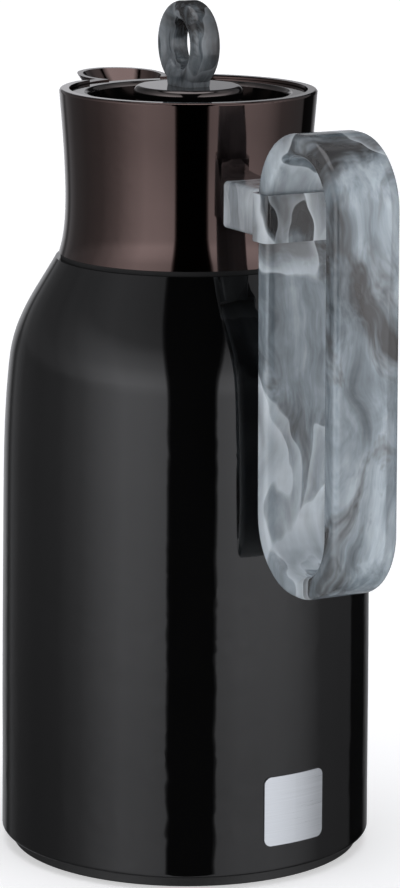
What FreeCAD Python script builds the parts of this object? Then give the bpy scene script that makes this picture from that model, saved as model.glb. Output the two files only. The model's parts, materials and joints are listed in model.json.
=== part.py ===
import FreeCAD
import Part
import os
import Sketcher
from math import cos, pi, sin
from FreeCAD import Placement, Rotation, Vector

# Vacuum jug: glass liner in a gloss shell, metal-look neck collar with a spout, resin handle loop,
# push-in lid with a turn-to-pour ring knob.
# Frame: +Z up, origin on the jug's axis at the surface it stands on, handle towards +X, spout
# towards -X.  Millimetres and degrees.

DRIVING = {
    # shell and base
    "BaseRadius": 65.5, "ShellBottom": 4.7, "ShellTop": 210.4, "ShellTopRadius": 46.0,
    "ShellWall": 2.6, "FlangeRadius": 38.0, "FlangeThick": 2.5,
    "BaseCoverRadius": 61.6, "BaseCoverBottom": 0.4, "BaseCoverTop": 3.6, "PlugTop": 10.0,
    "BossRingHeight": 8.0, "BossRingWidth": 9.0, "BaseScrewCircle": 57.0, "BaseScrewRadius": 1.5,
    "ScrewHeadRadius": 2.9, "ScrewHeadHeight": 2.0,
    "FootInner": 46.0, "FootOuter": 52.0, "FootHeight": 1.6,
    # glass liner
    "LinerRadius": 58.5, "LinerBottom": 14.0, "LinerShoulder": 176.0, "LinerNeckRadius": 35.5,
    "LinerNeckStart": 207.0, "LinerMouth": 231.0, "GlassWall": 1.6, "VacuumGap": 2.9,
    "MouthRadius": 31.3, "MouthBead": 1.6, "SealHeight": 3.0,
    # neck collar and spout
    "CollarBottom": 212.0, "CollarBottomRadius": 44.8, "RimTop": 269.0, "RimRadius": 44.65,
    "RimRounding": 0.9,
    "WaistRadius": 42.6, "CollarBore": 40.3, "RimBore": 41.3, "LedgeBore": 37.5, "LedgeThick": 2.0,
    "SpoutReach": 50.5, "SpoutRadius": 16.5, "SpoutWall": 2.0, "SpoutLift": 0.5, "SpoutRootDrop": 0.8,
    # pouring insert
    "InsertFloor": 235.6, "InsertThick": 2.6, "BoreRadius": 27.6, "InsertTop": 258.0,
    # lid
    "LipRadius": 40.8, "LipTop": 267.8, "DishFloor": 255.4, "DishThick": 2.4, "DishRadius": 34.6,
    "SkirtRadius": 38.0, "SkirtBottom": 241.0, "PedestalRadius": 13.0, "PedestalTop": 264.6,
    "PedestalBore": 7.0, "StopperRadius": 27.3, "StopperBottom": 217.0, "StopperWall": 2.8,
    "RunningGap": 0.3,
    # knob
    "DiscRadius": 18.9, "DiscThick": 5.0, "HubRadius": 6.6, "HubBottom": 256.0, "SpindleRadius": 4.4,
    "RingRadius": 15.0, "RingHole": 8.4, "RingWidth": 10.4, "RingFootWidth": 15.6,
    "RingCentreRise": 14.3, "KnobScrewRadius": 1.5,
    # handle
    "HandleInner": 69.9, "HandleDepth": 51.5, "HandleWidth": 25.0, "HandleThick": 7.5,
    "HandleTop": 264.6, "HandleBottom": 110.6, "HandleCorner": 24.0, "HandleEdge": 2.4,
    "HandleLean": 1.9, "BracketBottom": 226.5, "BracketHeight": 16.0, "ArmWidth": 18.0,
    "SleeveWall": 1.5, "BracketScrewHeight": 230.5, "BracketScrewSpread": 5.0,
    "InsertRadius": 2.3, "BracketScrewRadius": 1.3,
    # label plate
    "LabelWidth": 24.8, "LabelHeight": 24.6, "LabelBottom": 14.2, "LabelThick": 0.5,
    "LabelCorner": 2.6, "LabelAzimuth": 7.0,
}


class Size:
    """A length that carries both its value and the sheet formula that drives it."""

    def __init__(self, value, text):
        self.value = float(value)
        self.text = text

    def __add__(self, other):
        other = as_size(other)
        return Size(self.value + other.value, f"({self.text} + {other.text})")

    def __sub__(self, other):
        other = as_size(other)
        return Size(self.value - other.value, f"({self.text} - {other.text})")

    def __mul__(self, factor):
        return Size(self.value * factor, f"({self.text} * {factor:g})")

    def __neg__(self):
        return self * -1


def as_size(length):
    return length if isinstance(length, Size) else Size(length, f"{length:g} mm")


doc = FreeCAD.newDocument("vacuum_jug")
sheet = doc.addObject("Spreadsheet::Sheet", "Sizes")
for row, (alias, number) in enumerate(DRIVING.items(), 1):
    sheet.set(f"A{row}", alias)
    sheet.set(f"B{row}", str(number))
    sheet.setAlias(f"B{row}", alias)
doc.recompute()


def dim(alias):
    return Size(sheet.get(alias), f"Sizes.{alias} * 1 mm")


# ---------------------------------------------------------------- helpers


def new_body(node):
    body = doc.addObject("PartDesign::Body", node)
    body.Label = node
    return body


def new_sketch(body, name, plane, lift=None):
    """An empty sketch on one of the body's origin planes, lifted along the plane's normal."""
    sketch = body.newObject("Sketcher::SketchObject", name)
    sketch.AttachmentSupport = ([p for p in body.Origin.OriginFeatures if p.Role == plane][0], "")
    sketch.MapMode = "FlatFace"
    if lift is not None:
        sketch.AttachmentOffset = Placement(Vector(0, 0, lift.value), Rotation())
        sketch.setExpression("AttachmentOffset.Base.z", lift.text)
    return sketch


def pin_point(sketch, side, end, x, y):
    """Fix one end of a side at (x, y), bound to the sheet; a zero lies on the axis."""
    for kind, length, axis in (("DistanceX", as_size(x), -2), ("DistanceY", as_size(y), -1)):
        if length.value == 0:
            sketch.addConstraint(Sketcher.Constraint("PointOnObject", side, end, axis))
            continue
        number = sketch.addConstraint(Sketcher.Constraint(kind, side, end, length.value))
        sketch.setExpression(f"Constraints[{number}]", length.text)


def add_loop(sketch, corners, curves=None):
    """A closed loop of sides; curves gives the points that a curved side passes through."""
    curves = curves or {}
    first = sketch.GeometryCount
    points = [Vector(as_size(x).value, as_size(y).value, 0) for x, y in corners]
    count = len(points)
    for side in range(count):
        start, stop = points[side], points[(side + 1) % count]
        if side in curves:
            curve = Part.BSplineCurve()
            middle = [Vector(as_size(x).value, as_size(y).value, 0) for x, y in curves[side]]
            curve.interpolate(Points=[start] + middle + [stop])
            sketch.addGeometry(curve, False)
        else:
            sketch.addGeometry(Part.LineSegment(start, stop), False)
    for side in range(count):
        following = first + (side + 1) % count
        sketch.addConstraint(Sketcher.Constraint("Coincident", first + side, 2, following, 1))
    for side, (x, y) in enumerate(corners):
        pin_point(sketch, first + side, 1, x, y)
    return sketch


def add_box_loop(sketch, x0, x1, y0, y1):
    return add_loop(sketch, [(x0, y0), (x1, y0), (x1, y1), (x0, y1)])


def add_circle(sketch, x, y, radius):
    """A circle whose centre and radius are bound to the sheet."""
    centre = Vector(as_size(x).value, as_size(y).value, 0)
    number = sketch.addGeometry(Part.Circle(centre, Vector(0, 0, 1), radius.value), False)
    pin_point(sketch, number, 3, x, y)
    index = sketch.addConstraint(Sketcher.Constraint("Radius", number, radius.value))
    sketch.setExpression(f"Constraints[{index}]", radius.text)


def turn(body, name, corners, curves=None, kind="PartDesign::Revolution"):
    """Turn an outline of (radius, height) corners about the body's Z axis."""
    sketch = add_loop(new_sketch(body, name + "_outline", "XZ_Plane"), corners, curves)
    feature = body.newObject(kind, name)
    feature.Profile = sketch
    feature.ReferenceAxis = (sketch, ["V_Axis"])
    feature.Angle = 360
    return feature


def turned(node, corners, curves=None):
    body = new_body(node)
    turn(body, node + "_turn", corners, curves)
    return body


def pad(body, sketch, length, both_ways=False):
    feature = body.newObject("PartDesign::Pad", sketch.Name + "_pad")
    feature.Profile = sketch
    feature.Length = length.value
    feature.setExpression("Length", length.text)
    if both_ways:
        feature.SideType = "Symmetric"
    return feature


def cut(body, sketch, length, both_ways=False, reverse=False):
    """Pocket a sketch, and stop if it took nothing away."""
    doc.recompute()
    before = body.Shape.Volume
    feature = body.newObject("PartDesign::Pocket", sketch.Name + "_cut")
    feature.Profile = sketch
    feature.Length = length.value
    feature.setExpression("Length", length.text)
    feature.Reversed = reverse
    if both_ways:
        feature.SideType = "Symmetric"
    doc.recompute()
    if body.Shape.Volume > before - 0.01:
        raise RuntimeError(f"{sketch.Name} cuts nothing")
    return feature


def round_edges(body, name, radius, chosen):
    """Fillet the edges of the body that chosen(edge) picks."""
    doc.recompute()
    base = body.Tip
    edges = [f"Edge{i}" for i, edge in enumerate(base.Shape.Edges, 1) if chosen(edge)]
    if not edges:
        raise RuntimeError(f"{name} finds no edge")
    feature = body.newObject("PartDesign::Fillet", name)
    feature.Base = (base, edges)
    feature.Radius = radius.value
    feature.setExpression("Radius", radius.text)
    return feature


def is_circle(edge, radius, height, slack=0.05):
    """Whether an edge is the full circle of this radius at this height about the Z axis."""
    box = edge.BoundBox
    flat = abs(box.ZMin - height.value) < slack and abs(box.ZMax - height.value) < slack
    return flat and abs(box.XMax - radius.value) < slack and abs(box.XMin + radius.value) < slack


def round_circle(body, name, fillet, radius, height):
    return round_edges(body, name, as_size(fillet), lambda edge: is_circle(edge, radius, height))


def group(node, pieces):
    """Separate solids that share one node."""
    joined = doc.addObject("Part::Compound", node)
    joined.Label = node
    joined.Links = pieces
    return joined


def cylinder(name, radius, height, place):
    piece = doc.addObject("Part::Cylinder", name)
    piece.setExpression("Radius", radius.text)
    piece.setExpression("Height", height.text)
    piece.Placement = place
    return piece


def along_x(x, y, z):
    """A placement that points a cylinder's height along +X."""
    return Placement(Vector(x.value, y.value, z.value), Rotation(Vector(0, 1, 0), 90))


GAP = dim("RunningGap")

# ---------------------------------------------------------------- shell, base and liner


def shell_side(inset):
    """Points of the jug's gently tapered side and rounded shoulder, between its two ends."""
    belly = [(BASE_RADIUS - 0.3, 55), (BASE_RADIUS - 0.85, 118), (BASE_RADIUS - 2.7, 169)]
    shoulder = [(BASE_RADIUS - 4.5, 181), (BASE_RADIUS - 7.3, 189), (BASE_RADIUS - 12.5, 198.8)]
    return [(radius - inset, height) for radius, height in belly + shoulder]


BASE_RADIUS = dim("BaseRadius")
SHELL_BOTTOM = dim("ShellBottom")
SHELL_TOP = dim("ShellTop")
SHELL_INSIDE = BASE_RADIUS - dim("ShellWall")
COVER_TOP = dim("BaseCoverTop")
PLUG_TOP = dim("PlugTop")


def make_outer_shell():
    top = dim("ShellTopRadius")
    under = SHELL_TOP - dim("FlangeThick")
    flange = dim("FlangeRadius")
    inner_top = top - dim("ShellWall") + 0.6
    corners = [(BASE_RADIUS, SHELL_BOTTOM), (top, SHELL_TOP), (flange, SHELL_TOP), (flange, under),
               (inner_top, under), (SHELL_INSIDE, SHELL_BOTTOM)]
    inside = list(reversed(shell_side(dim("ShellWall"))))
    body = turned("outer_shell", corners, {0: shell_side(as_size(0)), 4: inside})
    round_circle(body, "shell_foot_round", 1.2, BASE_RADIUS, SHELL_BOTTOM)


def screw_places():
    """The three base screws, evenly round the base."""
    for turn_part in range(3):
        angle = pi / 3 + turn_part * 2 * pi / 3
        yield dim("BaseScrewCircle") * cos(angle), dim("BaseScrewCircle") * sin(angle)


def screw_holes(body, name, lift, radius, depth, reverse=True):
    sketch = new_sketch(body, name, "XY_Plane", lift)
    for x, y in screw_places():
        add_circle(sketch, x, y, radius)
    cut(body, sketch, depth, reverse=reverse)


def make_shell_boss_ring():
    inner = SHELL_INSIDE - dim("BossRingWidth")
    top = PLUG_TOP + dim("BossRingHeight")
    outer = SHELL_INSIDE - 0.3
    body = turned("shell_boss_ring", [(inner, PLUG_TOP), (outer, PLUG_TOP), (outer, top), (inner, top)])
    screw_holes(body, "boss_holes", PLUG_TOP, dim("BaseScrewRadius") + 0.02, dim("BossRingHeight"))


def make_base_cover():
    """A dished cover that plugs into the shell, with a groove line left between the two."""
    bottom = dim("BaseCoverBottom")
    plug = SHELL_INSIDE - 0.3
    inner_plug = plug - 10.0
    foot_top = dim("FootHeight")
    seat_in = dim("FootInner") - 0.1
    seat_out = dim("FootOuter") + 0.1
    corners = [(0, bottom + 1.4), (seat_in - 3.0, bottom + 1.4), (seat_in - 2.0, bottom),
               (seat_in, bottom), (seat_in, foot_top), (seat_out, foot_top), (seat_out, bottom),
               (dim("BaseCoverRadius"), bottom), (dim("BaseCoverRadius"), COVER_TOP),
               (BASE_RADIUS - 4.6, COVER_TOP), (BASE_RADIUS - 4.6, SHELL_BOTTOM), (plug, SHELL_BOTTOM),
               (plug, PLUG_TOP), (inner_plug, PLUG_TOP), (inner_plug, COVER_TOP + 0.8),
               (0, COVER_TOP + 0.8)]
    body = turned("base_cover", corners)
    round_circle(body, "cover_edge_round", 0.6, dim("BaseCoverRadius"), bottom)
    screw_holes(body, "cover_holes", bottom, dim("BaseScrewRadius") + 0.15, PLUG_TOP)
    head_room = dim("ScrewHeadHeight") + 0.5
    screw_holes(body, "cover_counterbores", bottom, dim("ScrewHeadRadius") + 0.3, head_room)


def make_base_foot_ring():
    inner, outer, top = dim("FootInner"), dim("FootOuter"), dim("FootHeight")
    body = turned("base_foot_ring", [(inner, 0), (outer, 0), (outer, top), (inner, top)])
    round_circle(body, "foot_round", 0.3, outer, as_size(0))


def make_base_screws():
    pieces = []
    head_base = dim("BaseCoverBottom") + 0.5
    for number, (x, y) in enumerate(screw_places(), 1):
        at = Placement(Vector(x.value, y.value, head_base.value), Rotation())
        head = cylinder(f"base_screw_head_{number}", dim("ScrewHeadRadius"), dim("ScrewHeadHeight"), at)
        shank_length = PLUG_TOP + dim("BossRingHeight") - head_base - 1.0
        shank = cylinder(f"base_screw_shank_{number}", dim("BaseScrewRadius"), shank_length, at)
        screw = doc.addObject("Part::Fuse", f"base_screw_{number}")
        screw.Base = head
        screw.Tool = shank
        pieces.append(screw)
    group("base_screws", pieces)


def make_liner_support():
    floor = COVER_TOP + 0.8
    bottom = dim("LinerBottom")
    corners = [(16, floor), (34, floor), (34, bottom), (30.5, bottom), (30.5, bottom - 2.6),
               (16, bottom - 2.6)]
    turned("liner_support", corners)


def make_liner_cushion():
    bottom = dim("LinerBottom")
    turned("liner_cushion", [(17, bottom - 2.6), (30.3, bottom - 2.6), (30.3, bottom), (17, bottom)])


def make_flask(node, radius, bottom, shoulder, neck, neck_start, neck_top, bead):
    """One of the liner's two blown walls: a straight bottle with round heel and shoulder."""
    wall = dim("GlassWall")
    corners = [(0, bottom), (radius, bottom), (radius, shoulder), (neck, neck_start)]
    if bead:
        corners += [(neck, neck_top), (dim("LinerNeckRadius"), neck_top),
                    (dim("LinerNeckRadius"), neck_top + dim("MouthBead")),
                    (neck - wall, neck_top + dim("MouthBead"))]
    else:
        corners += [(neck, neck_top), (neck - wall, neck_top)]
    corners += [(neck - wall, neck_start - 0.9), (radius - wall, shoulder - 0.9),
                (radius - wall, bottom + wall), (0, bottom + wall)]
    body = turned(node, corners)
    for name, fillet, ring, height in (("heel", 18, radius, bottom),
                                       ("heel_in", 16.4, radius - wall, bottom + wall),
                                       ("shoulder", 24, radius, shoulder),
                                       ("shoulder_in", 22.4, radius - wall, shoulder - 0.9),
                                       ("throat", 6, neck, neck_start),
                                       ("throat_in", 7.6, neck - wall, neck_start - 0.9)):
        round_circle(body, f"{node}_{name}", fillet, ring, height)


def make_liner():
    wall = dim("GlassWall")
    gap = dim("VacuumGap")
    bottom = dim("LinerBottom")
    shoulder, start, mouth = dim("LinerShoulder"), dim("LinerNeckStart"), dim("LinerMouth")
    make_flask("liner_outer_flask", dim("LinerRadius"), bottom, shoulder, dim("LinerNeckRadius"),
               start, mouth, False)
    inner_radius = dim("LinerRadius") - wall - gap
    make_flask("liner_inner_flask", inner_radius, bottom + wall + gap, shoulder - 3.0,
               dim("MouthRadius") + wall, start - 4.5, mouth, True)
    pads = []
    for number in range(3):
        angle = number * 120
        spot = Vector(inner_radius.value + 0.1, 0, 60)
        turn_round = Rotation(Vector(0, 0, 1), angle)
        at = Placement(turn_round.multVec(spot), turn_round.multiply(Rotation(Vector(0, 1, 0), 90)))
        pads.append(cylinder(f"spacer_{number + 1}", as_size(4), gap - 0.4, at))
    group("liner_spacers", pads)


def make_liner_neck_seal():
    low = dim("LinerMouth") + dim("MouthBead")
    inner, outer = dim("MouthRadius") + 0.3, dim("LinerNeckRadius") + 0.8
    turned("liner_neck_seal", [(inner, low), (outer, low), (outer, dim("InsertFloor")),
                               (inner, dim("InsertFloor"))])


# ---------------------------------------------------------------- neck


RIM_TOP = dim("RimTop")
STOPPER_LOW = dim("StopperBottom")
COLLAR_BOTTOM = dim("CollarBottom")


def collar_side():
    """Points of the collar's waisted outside, between its bottom edge and its rim."""
    waist = dim("WaistRadius")
    return [(waist + 1.0, 217), (waist + 0.08, 226), (waist + 0.05, 237), (waist + 0.95, 254)]


def add_spout(body, name, thinner, kind):
    """Loft a flared beak through three circles that lean out towards -X as they rise."""
    reach, radius = dim("SpoutReach"), dim("SpoutRadius")
    rings = [(reach - 13.7, radius - 11.3, RIM_TOP - 41), (reach - 10.0, radius - 6.8, RIM_TOP - 19),
             (reach, radius, RIM_TOP + 1.2)]
    sketches = []
    for number, (out, ring_radius, height) in enumerate(rings, 1):
        sketch = new_sketch(body, f"{name}_ring_{number}", "XY_Plane", height)
        add_circle(sketch, -out, 0, ring_radius - thinner)
        sketches.append(sketch)
    loft = body.newObject(kind, name)
    loft.Profile = sketches[0]
    loft.Sections = sketches[1:]


def make_neck_collar():
    bore, rim_bore = dim("CollarBore"), dim("RimBore")
    step = dim("InsertTop") + 1.0
    rim, rounding = dim("RimRadius"), dim("RimRounding")
    outside = [(0, COLLAR_BOTTOM), (dim("CollarBottomRadius"), COLLAR_BOTTOM), (rim, RIM_TOP - rounding),
               (rim - rounding, RIM_TOP), (0, RIM_TOP)]
    midway = rounding * 0.3
    body = turned("neck_collar", outside, {1: collar_side(), 2: [(rim - midway, RIM_TOP - midway)]})
    add_spout(body, "spout", as_size(0), "PartDesign::AdditiveLoft")
    ledge = dim("InsertFloor")
    hollow = [(0, COLLAR_BOTTOM - 1.0), (bore, COLLAR_BOTTOM - 1.0), (bore, ledge - dim("LedgeThick")),
              (dim("LedgeBore"), ledge - dim("LedgeThick")), (dim("LedgeBore"), ledge), (bore, ledge),
              (bore, step), (rim_bore, step + 1.0), (rim_bore, RIM_TOP + 6.0), (0, RIM_TOP + 6.0)]
    turn(body, "collar_hollow", hollow, kind="PartDesign::Groove")
    add_spout(body, "spout_channel", dim("SpoutWall"), "PartDesign::SubtractiveLoft")
    trim = new_sketch(body, "lip_trim", "XZ_Plane")
    tip = dim("SpoutReach") + dim("SpoutRadius") + 1.0
    root = RIM_TOP - dim("SpoutRootDrop")
    add_loop(trim, [(-(dim("RimBore") - 5.0), root), (-tip, RIM_TOP + dim("SpoutLift")),
                    (-tip, RIM_TOP + 8.0), (-(dim("RimBore") - 5.0), RIM_TOP + 8.0)])
    cut(body, trim, dim("SpoutRadius") * 3, both_ways=True)
    holes = new_sketch(body, "bracket_holes", "YZ_Plane", bore - 2.0)
    for side in (-1, 1):
        add_circle(holes, dim("BracketScrewSpread") * side, dim("BracketScrewHeight"),
                   dim("BracketScrewRadius") + 0.2)
    cut(body, holes, as_size(6), reverse=True)


def make_neck_joint_ring():
    corners = [(dim("CollarBore") + 0.7, SHELL_TOP), (dim("CollarBottomRadius") - 0.5, SHELL_TOP),
               (dim("CollarBottomRadius") - 0.5, COLLAR_BOTTOM), (dim("CollarBore") + 0.7, COLLAR_BOTTOM)]
    turned("neck_joint_ring", corners)


def make_pour_insert():
    floor, top = dim("InsertFloor"), dim("InsertTop")
    bore, outer = dim("BoreRadius"), dim("CollarBore") - 0.15
    low = STOPPER_LOW - 0.5
    inner = dim("SkirtRadius") + dim("RunningGap") + 0.1
    corners = [(bore, low), (bore + 2.6, low), (bore + 3.0, floor), (outer, floor), (outer, top),
               (inner, top), (inner, floor + dim("InsertThick")), (bore, floor + dim("InsertThick"))]
    body = turned("pour_insert", corners)
    window = new_sketch(body, "pour_window", "XZ_Plane")
    add_box_loop(window, -(outer + 1.0), -(inner - 1.5), floor + 7.4, top + 1.0)
    cut(body, window, as_size(22), both_ways=True)


# ---------------------------------------------------------------- lid


DISH_UNDER = dim("DishFloor") - dim("DishThick")


def make_lid_cover():
    dish, lip_top, floor = dim("DishRadius"), dim("LipTop"), dim("DishFloor")
    pedestal, top = dim("PedestalRadius"), dim("PedestalTop")
    bore, skirt, low = dim("PedestalBore"), dim("SkirtRadius"), dim("SkirtBottom")
    corners = [(bore, top), (pedestal, top), (pedestal, floor), (dish - 3.4, floor), (dish - 0.6, floor + 2.8),
               (dish, lip_top), (dim("LipRadius"), lip_top), (dim("LipRadius"), lip_top - 2.4),
               (skirt, lip_top - 2.4), (skirt, low), (skirt - 1.6, low), (skirt - 1.6, DISH_UNDER),
               (bore, DISH_UNDER)]
    body = turned("lid_cover", corners)
    round_circle(body, "lip_inner_round", 1.6, dish, lip_top)
    round_circle(body, "lip_outer_round", 0.7, dim("LipRadius"), lip_top)
    round_circle(body, "dish_round", 1.5, dish - 3.4, floor)
    window = new_sketch(body, "skirt_window", "XZ_Plane")
    add_box_loop(window, -(skirt + 1.0), -(skirt - 3.0), low + 2.4, low + 9.4)
    cut(body, window, as_size(20), both_ways=True)


def make_lid_seal():
    top = dim("SkirtBottom")
    outer = dim("SkirtRadius") + 0.1
    body = turned("lid_seal", [(outer - 2.3, top - 2.4), (outer, top - 2.4), (outer, top), (outer - 2.3, top)])
    round_circle(body, "lid_seal_round", 0.7, outer, top - 2.4)


def make_stopper_body():
    radius = dim("StopperRadius")
    inner = radius - dim("StopperWall")
    groove = radius - 1.2
    corners = [(inner, STOPPER_LOW), (radius, STOPPER_LOW), (radius, STOPPER_LOW + 4.0),
               (groove, STOPPER_LOW + 4.0), (groove, STOPPER_LOW + 8.0), (radius, STOPPER_LOW + 8.0),
               (radius, DISH_UNDER), (inner, DISH_UNDER)]
    body = turned("stopper_body", corners)
    port = new_sketch(body, "stopper_port", "XZ_Plane")
    floor = dim("InsertFloor") + dim("InsertThick")
    add_box_loop(port, -(radius + 1.0), -(inner - 2.0), floor + 1.6, floor + 8.6)
    cut(body, port, as_size(18), both_ways=True)


def add_ports(body, name, height, depth, across):
    """Two square-cornered ports each side of the middle; across turns them by a quarter."""
    sketch = new_sketch(body, name, "XY_Plane", height)
    for side in (-1, 1):
        near, far = as_size(8.0 * side), as_size(19.0 * side)
        if across:
            add_box_loop(sketch, as_size(-6.5), as_size(6.5), near, far)
        else:
            add_box_loop(sketch, near, far, as_size(-6.5), as_size(6.5))
    cut(body, sketch, depth, reverse=True)


def make_stopper_floor():
    inner = dim("StopperRadius") - dim("StopperWall")
    corners = [(2.3, STOPPER_LOW), (inner, STOPPER_LOW), (inner, STOPPER_LOW + 2.4), (2.3, STOPPER_LOW + 2.4)]
    body = turned("stopper_floor", corners)
    add_ports(body, "floor_ports", STOPPER_LOW, as_size(2.4), True)


def make_stopper_seal():
    groove = dim("StopperRadius") - 1.2
    outer = dim("StopperRadius") + 0.1
    low = STOPPER_LOW + 4.0
    body = turned("stopper_seal", [(groove, low), (outer, low), (outer, low + 4.0), (groove, low + 4.0)])
    round_circle(body, "stopper_seal_round", 0.6, outer, low)


def make_spindle_seal():
    inner = dim("SpindleRadius") + GAP
    corners = [(inner, DISH_UNDER), (dim("PedestalBore"), DISH_UNDER),
               (dim("PedestalBore"), DISH_UNDER + 2.4), (inner, DISH_UNDER + 2.4)]
    turned("spindle_seal", corners)


# ---------------------------------------------------------------- turning knob


DISC_UNDER = dim("PedestalTop") + 0.4
DISC_TOP = DISC_UNDER + dim("DiscThick")


def make_lid_disc():
    hub, bottom = dim("HubRadius"), dim("HubBottom")
    socket = dim("SpindleRadius") + 0.05
    hole = dim("KnobScrewRadius") + 0.05
    corners = [(hole, DISC_UNDER), (socket, DISC_UNDER), (socket, bottom), (hub, bottom),
               (hub, DISC_UNDER), (dim("DiscRadius"), DISC_UNDER), (dim("DiscRadius"), DISC_TOP),
               (hole, DISC_TOP)]
    body = turned("lid_disc", corners)
    round_circle(body, "disc_top_round", 2.0, dim("DiscRadius"), DISC_TOP)
    round_circle(body, "disc_under_round", 1.2, dim("DiscRadius"), DISC_UNDER)


def make_ring_knob():
    """A finger ring standing on a short foot, its hole across the handle and spout line."""
    body = new_body("ring_knob")
    centre = DISC_TOP + dim("RingCentreRise")
    width = dim("RingWidth")
    ring = new_sketch(body, "ring_outline", "XZ_Plane")
    add_circle(ring, 0, centre, dim("RingRadius"))
    pad(body, ring, width, both_ways=True)
    foot = new_sketch(body, "ring_foot", "XZ_Plane")
    half, neck = dim("RingFootWidth") * 0.5, dim("RingFootWidth") * 0.5 + 1.2
    add_loop(foot, [(-half, DISC_TOP), (half, DISC_TOP), (neck, DISC_TOP + 4.6), (-neck, DISC_TOP + 4.6)])
    pad(body, foot, width, both_ways=True)
    hole = new_sketch(body, "ring_hole", "XZ_Plane")
    add_circle(hole, 0, centre, dim("RingHole"))
    cut(body, hole, width * 2, both_ways=True)
    face = width.value / 2

    def on_side(edge):
        box = edge.BoundBox
        flat = abs(abs(box.YMin) - face) < 0.01 and abs(box.YMax - box.YMin) < 0.01
        return flat and box.ZMax > DISC_TOP.value + 0.5

    round_edges(body, "ring_round", as_size(2.9), on_side)
    flat = new_sketch(body, "ring_flat", "XZ_Plane")
    add_box_loop(flat, -dim("RingRadius"), dim("RingRadius"), DISC_TOP - 3.0, DISC_TOP)
    cut(body, flat, width * 2, both_ways=True)
    bore = new_sketch(body, "ring_screw_hole", "XY_Plane", DISC_TOP)
    add_circle(bore, 0, 0, dim("KnobScrewRadius"))
    cut(body, bore, as_size(6.0), reverse=True)


def make_knob_screw():
    shank, head = dim("KnobScrewRadius"), dim("KnobScrewRadius") + 1.7
    low = DISC_UNDER - 2.2
    corners = [(0, low), (head, low), (head, DISC_UNDER), (shank, DISC_UNDER), (shank, DISC_TOP + 5.8),
               (0, DISC_TOP + 5.8)]
    turned("knob_screw", corners)


def make_valve_spindle():
    radius = dim("SpindleRadius")
    valve_top = STOPPER_LOW + 4.8
    corners = [(0, STOPPER_LOW + 0.4), (2.0, STOPPER_LOW + 0.4), (2.0, valve_top), (radius, valve_top),
               (radius, DISC_UNDER - 4.0), (0, DISC_UNDER - 4.0)]
    turned("valve_spindle", corners)


def make_valve_disc():
    outer = dim("StopperRadius") - dim("StopperWall") - 0.4
    low = STOPPER_LOW + 2.4 + GAP
    high = STOPPER_LOW + 4.8
    body = turned("valve_disc", [(2.05, low), (outer, low), (outer, high), (2.05, high)])
    add_ports(body, "valve_ports", low, as_size(2.1), False)


# ---------------------------------------------------------------- handle and label


def leg_shift(height):
    """How far the loop has leaned out at a height, measured from its top."""
    fall = (DRIVING["HandleTop"] - height.value) / (DRIVING["HandleTop"] - DRIVING["HandleBottom"])
    return dim("HandleLean") * round(fall, 4)


def make_handle_loop():
    """A tall loop of rectangular band that leans out slightly towards its foot."""
    body = new_body("handle_loop")
    inner, depth, band = dim("HandleInner"), dim("HandleDepth"), dim("HandleThick")
    top, bottom, lean = dim("HandleTop"), dim("HandleBottom"), dim("HandleLean")
    outline = new_sketch(body, "loop_outline", "XZ_Plane")
    add_loop(outline, [(inner, top), (inner + depth, top), (inner + depth + lean, bottom),
                       (inner + lean, bottom)])
    pad(body, outline, dim("HandleWidth"), both_ways=True)
    width = DRIVING["HandleWidth"]

    def across(edge):
        return edge.BoundBox.YLength > width - 0.1 and edge.BoundBox.XLength < 0.1

    round_edges(body, "loop_corners", dim("HandleCorner"), across)
    hollow = new_sketch(body, "loop_hollow", "XZ_Plane")
    add_loop(hollow, [(inner + band, top - band), (inner + depth - band, top - band),
                      (inner + depth + lean - band, bottom + band), (inner + lean + band, bottom + band)])
    cut(body, hollow, dim("HandleWidth") * 2, both_ways=True)
    left, right = DRIVING["HandleInner"] + 5, DRIVING["HandleInner"] + DRIVING["HandleDepth"] - 3
    low, high = DRIVING["HandleBottom"] + 5, DRIVING["HandleTop"] - 5

    def inner_corner(edge):
        box = edge.BoundBox
        inside = left < box.XMin and box.XMax < right and low < box.ZMin and box.ZMax < high
        return across(edge) and inside

    round_edges(body, "hollow_corners", dim("HandleCorner") - dim("HandleThick"), inner_corner)

    def on_side(edge):
        box = edge.BoundBox
        return box.YLength < 0.01 and abs(abs(box.YMin) - width / 2) < 0.01

    round_edges(body, "loop_edges", dim("HandleEdge"), on_side)


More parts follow.
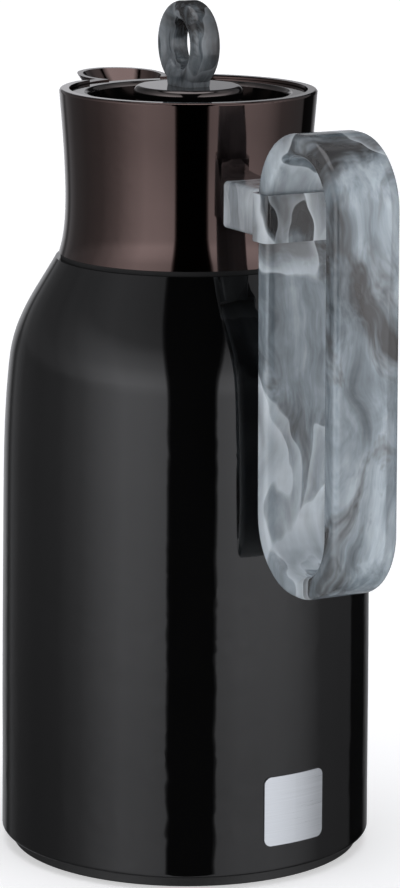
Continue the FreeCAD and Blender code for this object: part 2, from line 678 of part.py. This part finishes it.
def make_handle_bracket():
    """The arm that leaves the collar and the sleeve that wraps the loop's inner leg."""
    body = new_body("handle_bracket")
    low, height = dim("BracketBottom"), dim("BracketHeight")
    wall, band = dim("SleeveWall"), dim("HandleThick")
    leg = dim("HandleInner") + leg_shift(low + height * 0.5)
    half_width = dim("HandleWidth") * 0.5
    sleeve = new_sketch(body, "sleeve_outline", "XY_Plane", low)
    add_box_loop(sleeve, leg - wall, leg + band + wall, -(half_width + wall), half_width + wall)
    pad(body, sleeve, height)
    round_edges(body, "sleeve_corners", as_size(2.6),
                lambda edge: edge.BoundBox.ZLength > height.value - 0.1)
    arm = new_sketch(body, "arm_outline", "XY_Plane", low)
    half_arm = dim("ArmWidth") * 0.5
    add_box_loop(arm, dim("WaistRadius") - 3.0, leg - wall + 0.5, -half_arm, half_arm)
    pad(body, arm, height)
    root = dim("WaistRadius") + 0.28
    turn(body, "collar_seat", [(0, low - 2.0), (root, low - 2.0), (root, low + height + 2.0),
                               (0, low + height + 2.0)], kind="PartDesign::Groove")

    def arm_edge(edge):
        box = edge.BoundBox
        return box.YLength < 0.01 and box.ZLength < 0.01 and abs(abs(box.YMin) - half_arm.value) < 0.01

    round_edges(body, "arm_round", as_size(1.6), arm_edge)
    passage = new_sketch(body, "leg_passage", "XY_Plane", low - 1.0)
    add_box_loop(passage, leg - 0.25, leg + band + 0.25, -(half_width + 0.05), half_width + 0.05)
    cut(body, passage, height + 2.0, reverse=True)
    seats = new_sketch(body, "bushing_seats", "YZ_Plane", root - 3.0)
    for side in (-1, 1):
        add_circle(seats, dim("BracketScrewSpread") * side, dim("BracketScrewHeight"),
                   dim("InsertRadius"))
    cut(body, seats, as_size(11.5), reverse=True)


def make_bracket_fixings():
    """Backing plate, screws and brass bushings that hold the arm to the collar."""
    bore = dim("CollarBore")
    height = dim("BracketScrewHeight")
    spread = dim("BracketScrewSpread")
    plate = new_body("bracket_plate")
    strip = new_sketch(plate, "plate_outline", "XY_Plane", height - 3.8)
    add_box_loop(strip, bore - 4.0, bore + 1.0, -(spread + 4.0), spread + 4.0)
    pad(plate, strip, as_size(6.4))
    outer, inner = bore - 0.1, bore - 1.6
    turn(plate, "plate_back", [(outer, 215), (outer + 5.0, 215), (outer + 5.0, 240), (outer, 240)],
         kind="PartDesign::Groove")
    turn(plate, "plate_front", [(0, 215), (inner, 215), (inner, 240), (0, 240)], kind="PartDesign::Groove")
    holes = new_sketch(plate, "plate_holes", "YZ_Plane", bore - 6.0)
    for side in (-1, 1):
        add_circle(holes, spread * side, height, dim("BracketScrewRadius") + 0.1)
    cut(plate, holes, as_size(8), reverse=True)
    screws, bushings = [], []
    for number, side in enumerate((-1, 1), 1):
        across = spread * side
        radius = dim("BracketScrewRadius")
        head = cylinder(f"bracket_screw_head_{number}", radius + 1.1, as_size(1.3),
                        along_x(bore - 3.6, across, height))
        shank = cylinder(f"bracket_screw_shank_{number}", radius, as_size(13),
                         along_x(bore - 3.6, across, height))
        screw = doc.addObject("Part::Fuse", f"bracket_screw_{number}")
        screw.Base = head
        screw.Tool = shank
        screws.append(screw)
        start = dim("WaistRadius") + 0.5
        tube = cylinder(f"bushing_tube_{number}", dim("InsertRadius"), as_size(7), along_x(start, across, height))
        bore_hole = cylinder(f"bushing_bore_{number}", radius + 0.02, as_size(7),
                             along_x(start, across, height))
        bushing = doc.addObject("Part::Cut", f"bushing_{number}")
        bushing.Base = tube
        bushing.Tool = bore_hole
        bushings.append(bushing)
    group("bracket_screws", screws)
    group("bracket_bushings", bushings)


def make_label_plate():
    """A plain rounded plate bent to the jug's side, low down beside the handle's line."""
    body = new_body("label_plate")
    low, height, half = dim("LabelBottom"), dim("LabelHeight"), dim("LabelWidth") * 0.5
    face = new_sketch(body, "label_outline", "YZ_Plane", BASE_RADIUS - 6.0)
    add_box_loop(face, -half, half, low, low + height)
    pad(body, face, as_size(10))
    round_edges(body, "label_corners", dim("LabelCorner"), lambda edge: edge.BoundBox.XLength > 9)
    side = BASE_RADIUS - 0.08
    outer = side + dim("LabelThick")
    turn(body, "label_back", [(0, low - 2.0), (side, low - 2.0), (side - 0.12, low + height + 2.0),
                              (0, low + height + 2.0)], kind="PartDesign::Groove")
    turn(body, "label_front", [(outer, low - 2.0), (outer + 12.0, low - 2.0),
                               (outer + 12.0, low + height + 2.0), (outer - 0.12, low + height + 2.0)],
         kind="PartDesign::Groove")
    body.Placement = Placement(Vector(), Rotation(Vector(0, 0, 1), DRIVING["LabelAzimuth"]))
    body.setExpression("Placement.Rotation.Angle", "Sizes.LabelAzimuth * 1 deg")


# ---------------------------------------------------------------- build and write


make_outer_shell()
make_shell_boss_ring()
make_base_cover()
make_base_foot_ring()
make_base_screws()
make_liner_support()
make_liner_cushion()
make_liner()
make_liner_neck_seal()
make_neck_collar()
make_neck_joint_ring()
make_pour_insert()
make_lid_cover()
make_lid_seal()
make_stopper_body()
make_stopper_floor()
make_stopper_seal()
make_spindle_seal()
make_lid_disc()
make_ring_knob()
make_knob_screw()
make_valve_spindle()
make_valve_disc()
make_handle_loop()
make_handle_bracket()
make_bracket_fixings()
make_label_plate()
doc.recompute()

for item in doc.Objects:
    if "Invalid" in item.State or "Error" in item.State:
        raise RuntimeError(f"{item.Name} failed: {item.State}")

bodies = [item for item in doc.Objects if item.TypeId in ("PartDesign::Body", "Part::Compound")]
os.makedirs("parts", exist_ok=True)
for item in bodies:
    if item.Shape.isNull() or not item.Shape.isValid():
        raise RuntimeError(f"{item.Label} has no valid shape")
for item in bodies:
    item.Shape.exportStep(f"parts/{item.Label}.step")
    print(f"{item.Label}: {len(item.Shape.Solids)} solid(s), {item.Shape.Volume / 1000:.2f} cm3")
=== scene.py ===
import json
import math
import bpy
from mathutils import Matrix, Vector

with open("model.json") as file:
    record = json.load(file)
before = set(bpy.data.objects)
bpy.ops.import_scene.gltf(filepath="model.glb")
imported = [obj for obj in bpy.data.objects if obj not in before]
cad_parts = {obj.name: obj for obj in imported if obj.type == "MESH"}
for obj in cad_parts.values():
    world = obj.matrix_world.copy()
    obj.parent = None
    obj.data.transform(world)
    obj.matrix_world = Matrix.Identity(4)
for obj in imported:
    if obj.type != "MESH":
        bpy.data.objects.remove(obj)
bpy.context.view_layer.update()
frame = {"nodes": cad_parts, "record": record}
nodes = frame["nodes"]

# The camera stands in front of the jug, with the handle swung towards it and to its right.
HANDLE_SWING = math.radians(28.5)     # from the line to the camera round to the handle, which is at +X
TO_CAMERA = Vector((math.cos(HANDLE_SWING), -math.sin(HANDLE_SWING), 0))
TO_RIGHT = Vector((math.sin(HANDLE_SWING), math.cos(HANDLE_SWING), 0))
CAMERA_DISTANCE = 1.350               # metres from the jug's axis, along the floor
CAMERA_HEIGHT = 0.428                 # metres above the floor
CAMERA_PITCH = math.radians(11.91)
CAMERA_YAW = math.radians(0.20)
CAMERA_ROLL = math.radians(0.34)
CAMERA_LENS = 158.8                   # millimetres, on a sensor 36 mm along the picture's long side
CAMERA_REACH = 60                     # metres, past the floor's far edge


# ---------------------------------------------------------------- node helpers


class Shader:
    """Adds nodes to one material or world and joins them."""

    def __init__(self, tree):
        self.tree = tree
        self.tree.nodes.clear()

    def add(self, kind, **settings):
        node = self.tree.nodes.new(kind)
        for name, value in settings.items():
            setattr(node, name, value)
        return node

    def join(self, source, target):
        self.tree.links.new(source, target)

    def put(self, value, target):
        """Set a socket, or link it when the value is another node's output."""
        if isinstance(value, bpy.types.NodeSocket):
            self.join(value, target)
        else:
            target.default_value = value

    def math(self, operation, first, second=0.0, clamp=False):
        node = self.add("ShaderNodeMath", operation=operation, use_clamp=clamp)
        self.put(first, node.inputs[0])
        self.put(second, node.inputs[1])
        return node.outputs[0]

    def ramp(self, factor, stops):
        """A colour ramp from (place, colour or grey level) stops."""
        node = self.add("ShaderNodeValToRGB")
        elements = node.color_ramp.elements
        while len(elements) < len(stops):
            elements.new(0.5)
        for element, (place, colour) in zip(elements, stops):
            element.position = place
            grey = not isinstance(colour, tuple)
            element.color = (colour, colour, colour, 1) if grey else (*colour, 1)
        self.put(factor, node.inputs[0])
        return node.outputs[0]

    def vary(self, target, factor, *stops):
        """Drive a socket by a ramp over a noise field."""
        self.join(self.ramp(factor, stops), target)

    def mix(self, factor, first, second):
        """Blend two colours; sockets 6 and 7 of the node are its colour inputs, output 2 its colour."""
        node = self.add("ShaderNodeMix", data_type="RGBA")
        self.put(factor, node.inputs[0])
        for value, socket in ((first, node.inputs[6]), (second, node.inputs[7])):
            self.put((*value, 1) if isinstance(value, tuple) else value, socket)
        return node.outputs[2]

    def noise(self, vector, scale, detail=3.0, roughness=0.5, distortion=0.0):
        node = self.add("ShaderNodeTexNoise")
        self.put(vector, node.inputs["Vector"])
        for name, value in (("Scale", scale), ("Detail", detail), ("Roughness", roughness),
                            ("Distortion", distortion)):
            node.inputs[name].default_value = value
        return node

    def stretched(self, vector, scale, shift=(0, 0, 0)):
        """The vector scaled and shifted along each axis, in metres on the object."""
        node = self.add("ShaderNodeMapping")
        self.put(vector, node.inputs["Vector"])
        node.inputs["Scale"].default_value = scale
        node.inputs["Location"].default_value = shift
        return node.outputs[0]

    def bump(self, height, strength, distance):
        """Surface relief from a height field; the distance is in metres."""
        node = self.add("ShaderNodeBump")
        node.inputs["Strength"].default_value = strength
        node.inputs["Distance"].default_value = distance
        self.put(height, node.inputs["Height"])
        return node.outputs[0]


def material(name):
    """A new material with a Principled shader; returns the material, its helper and the shader."""
    made = bpy.data.materials.new(name)
    made.use_nodes = True
    shader = Shader(made.node_tree)
    output = shader.add("ShaderNodeOutputMaterial")
    skin = shader.add("ShaderNodeBsdfPrincipled")
    shader.join(skin.outputs[0], output.inputs["Surface"])
    return made, shader, skin


def place(shader):
    """Object coordinates, in metres."""
    return shader.add("ShaderNodeTexCoord").outputs["Object"]


# ---------------------------------------------------------------- materials


def gloss_black(name, grey, roughness, index, tint=(1, 1, 1)):
    """Polished black lacquer with a trace of orange peel and faint polishing variation."""
    made, shader, skin = material(name)
    where = place(shader)
    cloud = shader.noise(where, scale=35, detail=4, roughness=0.6).outputs[0]
    peel = shader.noise(where, scale=260, detail=2, roughness=0.5).outputs[0]
    skin.inputs["IOR"].default_value = index
    skin.inputs["Specular Tint"].default_value = (*tint, 1)
    darker = (grey * 0.8, grey * 0.8, grey * 0.82)
    lighter = (grey, grey, grey * 1.05)
    shader.vary(skin.inputs["Base Color"], cloud, (0.3, darker), (0.7, lighter))
    shader.vary(skin.inputs["Roughness"], cloud, (0.25, roughness * 0.6), (0.8, roughness * 1.5))
    shader.join(shader.bump(peel, strength=0.003, distance=0.0004), skin.inputs["Normal"])
    return made


def collar_metal():
    """Dark brown mirror-polished metal finish under clear lacquer, with very fine turned streaks."""
    made, shader, skin = material("brown_metal")
    where = place(shader)
    cloud = shader.noise(where, scale=18, detail=4, roughness=0.6).outputs[0]
    turned = shader.stretched(where, (4, 4, 900))
    streaks = shader.noise(turned, scale=1.0, detail=2, roughness=0.6).outputs[0]
    skin.inputs["Metallic"].default_value = 1.0
    skin.inputs["Coat Weight"].default_value = 0.5
    skin.inputs["Coat Roughness"].default_value = 0.015
    shader.vary(skin.inputs["Base Color"], cloud,
                (0.3, (0.068, 0.042, 0.037)), (0.72, (0.084, 0.053, 0.047)))
    shader.vary(skin.inputs["Roughness"], streaks, (0.2, 0.045), (0.8, 0.085))
    shader.join(shader.bump(streaks, strength=0.004, distance=0.0003), skin.inputs["Normal"])
    return made


# Tones of the resin, from its darkest streaks to its white veils.
RESIN_DEEP = (0.080, 0.096, 0.108)
RESIN_MIDDLE = (0.30, 0.35, 0.385)
RESIN_PALE = (0.60, 0.67, 0.715)
RESIN_SMOKE = (0.058, 0.050, 0.046)
RESIN_VEIL = (0.82, 0.88, 0.92)
VEIL_SHADE_POWER = 0.8                # veils follow a resin's shade less than the rest does
CLOUD_SHARE, STREAK_SHARE = 0.52, 0.48
TONE_SPREAD = 0.14                    # width of the deep-to-pale ramp, either side of its middle
SWIRL = 0.05                          # how far the flow wanders along each axis
# Each set of veils: the scale of its noise, its shift from the others and its strength.
VEIL_SETS = ((8, 0.0, 0.95), (15, 0.37, 0.55), (11, 0.71, 0.45))
# A veil's profile across its noise field: clear, then a crisp edge, then a slow fade.
VEIL_PROFILE = ((0.0, 0.0), (0.545, 0.0), (0.551, 1.0), (0.59, 0.5), (0.70, 0.1))


def marbled_resin(name, shade, contrast, grain, clearness, seed):
    """Cloudy grey resin: drawn-out streaks, smoky patches and white veils with one crisp edge."""
    made, shader, skin = material(name)
    where = shader.stretched(place(shader), (grain, grain, grain * 0.7), shift=seed)
    warp = shader.noise(where, scale=15, detail=3, roughness=0.55)
    swirl = shader.add("ShaderNodeVectorMath", operation="MULTIPLY_ADD")
    shader.join(warp.outputs["Color"], swirl.inputs[0])
    swirl.inputs[1].default_value = (SWIRL, SWIRL, SWIRL)
    shader.join(where, swirl.inputs[2])
    flow = swirl.outputs[0]

    def shaded(colour, power=1.0):
        return tuple(channel * shade ** power for channel in colour)

    cloud = shader.noise(flow, scale=24, detail=5, roughness=0.62, distortion=0.5).outputs[0]
    upright = shader.stretched(flow, (1, 1, 0.14))
    streak = shader.noise(upright, scale=130, detail=4, roughness=0.62).outputs[0]
    body = shader.math("ADD", shader.math("MULTIPLY", cloud, CLOUD_SHARE),
                       shader.math("MULTIPLY", streak, STREAK_SHARE))
    spread = TONE_SPREAD / contrast
    tone = shader.ramp(body, [(0.5 - spread, shaded(RESIN_DEEP)), (0.5, shaded(RESIN_MIDDLE)),
                              (0.5 + spread, shaded(RESIN_PALE))])
    smoke_field = shader.noise(flow, scale=15, detail=5, roughness=0.68, distortion=1.0).outputs[0]
    smoke = shader.ramp(smoke_field, [(0.50, 0.0), (0.60, 0.9)])
    tone = shader.mix(smoke, tone, shaded(RESIN_SMOKE))
    veils = None
    for scale, offset, strength in VEIL_SETS:
        drawn_out = shader.stretched(flow, (1, 1, 0.8), shift=(offset, offset, offset))
        field = shader.noise(drawn_out, scale=scale, detail=3, roughness=0.42, distortion=1.0).outputs[0]
        veil = shader.ramp(field, [(spot, level * strength) for spot, level in VEIL_PROFILE])
        tone = shader.mix(veil, tone, shaded(RESIN_VEIL, VEIL_SHADE_POWER))
        veils = veil if veils is None else shader.math("MAXIMUM", veils, veil)
    shader.join(tone, skin.inputs["Base Color"])
    clear = shader.math("MULTIPLY", shader.math("SUBTRACT", 1.0, veils, clamp=True), clearness)
    shader.join(clear, skin.inputs["Transmission Weight"])
    skin.inputs["IOR"].default_value = 1.5
    skin.inputs["Subsurface Weight"].default_value = 0.2
    skin.inputs["Subsurface Radius"].default_value = (0.9, 1.0, 1.1)
    skin.inputs["Subsurface Scale"].default_value = 0.003
    shader.vary(skin.inputs["Roughness"], body, (0.2, 0.05), (0.8, 0.12))
    shader.join(shader.bump(cloud, strength=0.012, distance=0.0006), skin.inputs["Normal"])
    return made


def fine_grained(name, grey, roughness):
    """Fine-grained plastic, rubber or ceramic in one grey."""
    made, shader, skin = material(name)
    where = place(shader)
    grain = shader.noise(where, scale=900, detail=3, roughness=0.6).outputs[0]
    cloud = shader.noise(where, scale=40, detail=3, roughness=0.5).outputs[0]
    shader.vary(skin.inputs["Base Color"], cloud, (0.3, grey * 0.8), (0.7, grey * 1.2))
    shader.vary(skin.inputs["Roughness"], cloud, (0.3, roughness * 0.9), (0.7, roughness * 1.1))
    shader.join(shader.bump(grain, strength=0.25, distance=0.0003), skin.inputs["Normal"])
    return made


def brushed(name, colour, roughness, direction):
    """Metal with fine parallel brush marks."""
    made, shader, skin = material(name)
    along = shader.stretched(place(shader), direction)
    marks = shader.noise(along, scale=1.0, detail=3, roughness=0.6).outputs[0]
    dark = tuple(channel * 0.86 for channel in colour)
    skin.inputs["Metallic"].default_value = 1.0
    shader.vary(skin.inputs["Base Color"], marks, (0.25, dark), (0.75, colour))
    shader.vary(skin.inputs["Roughness"], marks, (0.2, roughness * 0.7), (0.8, roughness * 1.3))
    shader.join(shader.bump(marks, strength=0.05, distance=0.0002), skin.inputs["Normal"])
    return made


def silvered_glass():
    """Mirror-silvered flask glass with slight waviness."""
    made, shader, skin = material("silvered_glass")
    wave = shader.noise(place(shader), scale=30, detail=3, roughness=0.5).outputs[0]
    skin.inputs["Metallic"].default_value = 0.9
    skin.inputs["Coat Weight"].default_value = 0.6
    shader.vary(skin.inputs["Base Color"], wave, (0.2, (0.70, 0.72, 0.74)), (0.8, (0.83, 0.85, 0.87)))
    shader.vary(skin.inputs["Roughness"], wave, (0.2, 0.05), (0.8, 0.12))
    shader.join(shader.bump(wave, strength=0.05, distance=0.001), skin.inputs["Normal"])
    return made


def silicone():
    """Milky, slightly translucent silicone."""
    made, shader, skin = material("silicone")
    cloud = shader.noise(place(shader), scale=120, detail=3, roughness=0.5).outputs[0]
    skin.inputs["Subsurface Weight"].default_value = 0.3
    skin.inputs["Subsurface Scale"].default_value = 0.002
    shader.vary(skin.inputs["Base Color"], cloud, (0.3, (0.60, 0.60, 0.57)), (0.7, (0.70, 0.70, 0.67)))
    shader.vary(skin.inputs["Roughness"], cloud, (0.2, 0.42), (0.8, 0.55))
    shader.join(shader.bump(cloud, strength=0.1, distance=0.0003), skin.inputs["Normal"])
    return made


# A finish for each material slot of the part; the three resin pieces have their own below.
FINISHES = {
    "gloss_black": gloss_black("body_gloss", grey=0.0025, roughness=0.020, index=1.5),
    "lid_black": gloss_black("lid_gloss", grey=0.004, roughness=0.05, index=1.85, tint=(1.0, 0.86, 0.82)),
    "collar_metal": collar_metal(),
    "matte_black": fine_grained("matte_plastic", 0.012, 0.5),
    "inner_plastic": fine_grained("inner_plastic", 0.018, 0.35),
    "rubber_black": fine_grained("black_rubber", 0.014, 0.75),
    "plate_silver": brushed("plate_satin", (0.72, 0.75, 0.78), 0.34, (30, 30, 2500)),
    "steel": brushed("steel", (0.56, 0.56, 0.57), 0.3, (2200, 60, 60)),
    "brass": brushed("brass", (0.66, 0.47, 0.2), 0.3, (60, 2200, 60)),
    "silvered_glass": silvered_glass(),
    "silicone": silicone(),
    "ceramic": fine_grained("spacer_ceramic", 0.55, 0.6),
}
RESINS = {
    "handle_loop": marbled_resin("handle_resin", shade=1.1, contrast=1.1, grain=1.0,
                                 clearness=0.45, seed=(0.0, 0.0, 0.0)),
    "handle_bracket": marbled_resin("bracket_resin", shade=0.72, contrast=1.4, grain=1.5,
                                    clearness=0.45, seed=(0.52, 0.27, 0.36)),
    "ring_knob": marbled_resin("ring_resin", shade=0.40, contrast=1.6, grain=2.0,
                               clearness=0.25, seed=(0.7, 0.4, 0.1)),
}


def paint(obj, finish):
    obj.data.materials.clear()
    obj.data.materials.append(finish)


for entry in frame["record"]["subparts"]:
    node = entry["node"]
    paint(nodes[node], RESINS.get(node) or FINISHES[entry["material_slot"]])

# ---------------------------------------------------------------- floor, light and camera


FLOOR_HALF = 9.0                      # metres, from the jug to the floor's edge
FLOOR_GLOW = 0.46                     # the floor's own light, which keeps the backdrop near white
SKY_OVERHEAD = 2.0                    # brightness of the tent's top
TOP_STARTS, TOP_FULL = 0.83, 0.88     # where the top fades in, as a share of the way up from straight down
TENT_COLOUR = (0.985, 0.99, 1.03, 1)
TENT_SQUEEZE = 0.55                   # the ring spreads away from the camera with height, per radian


def make_floor():
    """A wide pale floor that mirrors keep out of sight, as a light tent would."""
    mesh = bpy.data.meshes.new("floor")
    corners = [(-FLOOR_HALF, -FLOOR_HALF, 0), (FLOOR_HALF, -FLOOR_HALF, 0),
               (FLOOR_HALF, FLOOR_HALF, 0), (-FLOOR_HALF, FLOOR_HALF, 0)]
    mesh.from_pydata(corners, [], [(0, 1, 2, 3)])
    floor = bpy.data.objects.new("floor", mesh)
    bpy.context.scene.collection.objects.link(floor)
    made, shader, skin = material("floor_paper")
    tone = shader.noise(place(shader), scale=3, detail=2).outputs[0]
    shader.vary(skin.inputs["Base Color"], tone, (0.0, 0.90), (1.0, 0.93))
    skin.inputs["Roughness"].default_value = 0.9
    skin.inputs["Specular IOR Level"].default_value = 0.0
    skin.inputs["Emission Color"].default_value = (1, 1, 1, 1)
    skin.inputs["Emission Strength"].default_value = FLOOR_GLOW
    paint(floor, made)
    floor.visible_glossy = False


def turn_share(degrees):
    """A direction about the jug as a share of a full turn; 0.5 is towards the camera."""
    return 0.5 + degrees / 360


def rise_place(degrees):
    """A height above the horizon as a share of the half turn from straight down to straight up."""
    return 0.5 + degrees / 180


# Brightness of the tent by direction about the jug, in degrees from the camera (left is negative).
TENT_RING = [(-180, 0.5), (-163, 0.48), (-156, 0.33), (-150, 0.08), (-147, 0.10), (-142, 0.22),
             (-129, 0.155), (-108, 0.19), (-87, 0.31), (-69, 0.62), (-56, 1.06), (-40, 1.50), (-26, 1.43),
             (-12.5, 1.22), (-11, 0.003), (18, 0.003), (19.5, 1.14), (34, 1.36), (48, 1.34), (61, 1.28),
             (76, 0.95), (93, 0.36), (113, 0.22), (125, 0.155), (128, 0.01), (150, 0.01), (155, 0.12),
             (180, 0.5)]
# How that brightness changes with height, in degrees above the horizon.
TENT_RISE = [(-90, 0.5), (-20, 0.60), (-17.3, 0.67), (-15.3, 0.76), (-12.6, 0.92), (-9, 1.0), (1, 1.05),
             (5, 1.32), (11, 1.2), (18, 0.92), (28, 0.68), (36, 0.40), (54, 0.33), (57, 0.0), (90, 0.0)]


def make_light_tent():
    """Two tall soft lights either side of a dark gap, a dim tent behind and a bright top."""
    world = bpy.data.worlds.new("light_tent")
    world.use_nodes = True
    bpy.context.scene.world = world
    shader = Shader(world.node_tree)
    output = shader.add("ShaderNodeOutputWorld")
    direction = shader.add("ShaderNodeTexCoord").outputs["Generated"]
    parts = []
    for axis in (TO_RIGHT, TO_CAMERA, Vector((0, 0, 1))):
        dot = shader.add("ShaderNodeVectorMath", operation="DOT_PRODUCT")
        shader.join(direction, dot.inputs[0])
        dot.inputs[1].default_value = axis
        parts.append(dot.outputs["Value"])
    turn = shader.math("ARCTAN2", parts[0], parts[1])
    rise = shader.math("ARCSINE", parts[2])
    above = shader.math("MAXIMUM", rise, 0.0)
    squeeze = shader.math("SUBTRACT", 1.0, shader.math("MULTIPLY", above, TENT_SQUEEZE))
    squeezed = shader.math("MULTIPLY", turn, squeeze)
    share = shader.math("ADD", shader.math("MULTIPLY", squeezed, 1 / (2 * math.pi)), 0.5)
    ring = shader.ramp(share, [(turn_share(degrees), level) for degrees, level in TENT_RING])
    rise_share = shader.math("ADD", shader.math("MULTIPLY", rise, 1 / math.pi), 0.5)
    fade = shader.ramp(rise_share, [(rise_place(degrees), level) for degrees, level in TENT_RISE])
    top = shader.ramp(rise_share, [(0.0, 0.0), (TOP_STARTS, 0.0), (TOP_FULL, 1.0), (1.0, 1.0)])
    side_light = shader.math("MULTIPLY", ring, fade)
    total = shader.math("ADD", side_light, shader.math("MULTIPLY", top, SKY_OVERHEAD))
    tent = shader.add("ShaderNodeBackground")
    tent.inputs["Color"].default_value = TENT_COLOUR
    shader.join(total, tent.inputs["Strength"])
    shader.join(tent.outputs[0], output.inputs["Surface"])


def make_camera():
    """A long lens at the photograph's angle, a little above the rim."""
    data = bpy.data.cameras.new("camera")
    data.lens = CAMERA_LENS
    data.clip_end = CAMERA_REACH
    camera = bpy.data.objects.new("camera", data)
    bpy.context.scene.collection.objects.link(camera)
    forward = (-TO_CAMERA * math.cos(CAMERA_YAW) + TO_RIGHT * math.sin(CAMERA_YAW)) * math.cos(CAMERA_PITCH)
    forward.z = -math.sin(CAMERA_PITCH)
    level = TO_RIGHT * math.cos(CAMERA_YAW) + TO_CAMERA * math.sin(CAMERA_YAW)
    upright = level.cross(forward)
    right = level * math.cos(CAMERA_ROLL) + upright * math.sin(CAMERA_ROLL)
    up = right.cross(forward)
    basis = Matrix((right, up, -forward)).transposed().to_4x4()
    basis.translation = TO_CAMERA * CAMERA_DISTANCE + Vector((0, 0, CAMERA_HEIGHT))
    camera.matrix_world = basis
    bpy.context.scene.camera = camera


make_floor()
make_light_tent()
make_camera()
bpy.context.scene.view_settings.view_transform = "Standard"
# The clear resin needs more bounces than an opaque surface does.
bpy.context.scene.cycles.max_bounces = 16
bpy.context.scene.cycles.transmission_bounces = 12
